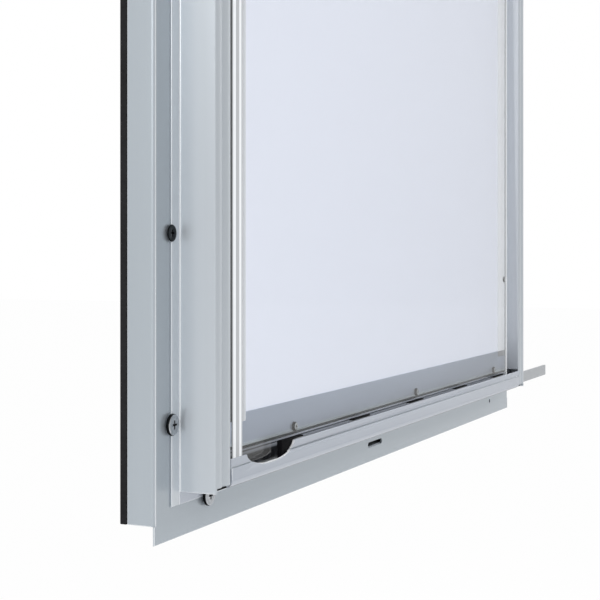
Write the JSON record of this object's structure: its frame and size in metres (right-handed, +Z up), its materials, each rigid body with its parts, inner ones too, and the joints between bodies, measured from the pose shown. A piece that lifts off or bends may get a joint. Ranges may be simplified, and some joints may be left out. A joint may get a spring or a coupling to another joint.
{
  "type": "illuminated poster frame",
  "caption": "Wall-hung edge-lit poster frame: flat pan, raised satin metal frame, lit panel, clear lift-out cover and a sliding retaining bar.",
  "frame": {"origin": "centre of the rear face that rests on the wall", "axes": "+Z up, +Y into the wall, so the lit front looks along -Y, and +X to the right of a viewer"},
  "size_m": [0.688, 0.0399, 0.7642],
  "materials": {
    "satin_aluminium": "satin",
    "rear_sheet": "satin",
    "black_foam": "matte",
    "turned_steel": "satin",
    "screw_steel": "satin",
    "screw_dark": "satin, blackened",
    "reflector_white": "matte",
    "guide_acrylic": "clear",
    "opal_lit": "opal",
    "holder_grey": "satin",
    "holder_white": "matte",
    "board_white": "matte",
    "led_yellow": "gloss",
    "black_rubber": "matte",
    "clear_sheet": "clear, polished edges",
    "bar_steel": "satin",
    "driver_case": "matte",
    "terminal_plastic": "matte",
    "lead_jacket": "matte"
  },
  "bodies": {
    "frame": {"base_pan": "satin_aluminium", "back_cover": "rear_sheet", "wall_pad": "black_foam", "posts": "turned_steel", "rear_screws": "screw_steel", "profile_left": "satin_aluminium", "profile_right": "satin_aluminium", "rail_bottom": "satin_aluminium", "rail_top": "satin_aluminium", "corner_clamp_screws": "screw_steel", "side_clamp_screws": "screw_dark", "reflector_sheet": "reflector_white", "light_guide": "guide_acrylic", "diffuser": "opal_lit", "holder_bottom": "holder_grey", "holder_top": "holder_grey", "holder_left": "holder_white", "holder_right": "holder_white", "holder_screws": "screw_steel", "led_board_bottom": "board_white", "led_board_top": "board_white", "leds": "led_yellow", "setting_blocks": "black_rubber", "led_driver": "driver_case", "terminal_block": "terminal_plastic", "inlet_grommet": "black_rubber", "lead_grommets": "black_rubber", "led_leads": "lead_jacket"},
    "cover": {"clear_cover": "clear_sheet"},
    "bar": {"retaining_bar": "bar_steel", "bar_pads": "black_rubber"}
  },
  "joints": [
    {"name": "cover_lift", "type": "slide", "parent": "frame", "child": "cover", "axis": [0, 0, 1], "range_m": [0, 0.013]},
    {"name": "bar_slide", "type": "slide", "parent": "frame", "child": "bar", "axis": [1, 0, 0], "range_m": [-0.076, 0.44]}
  ]
}
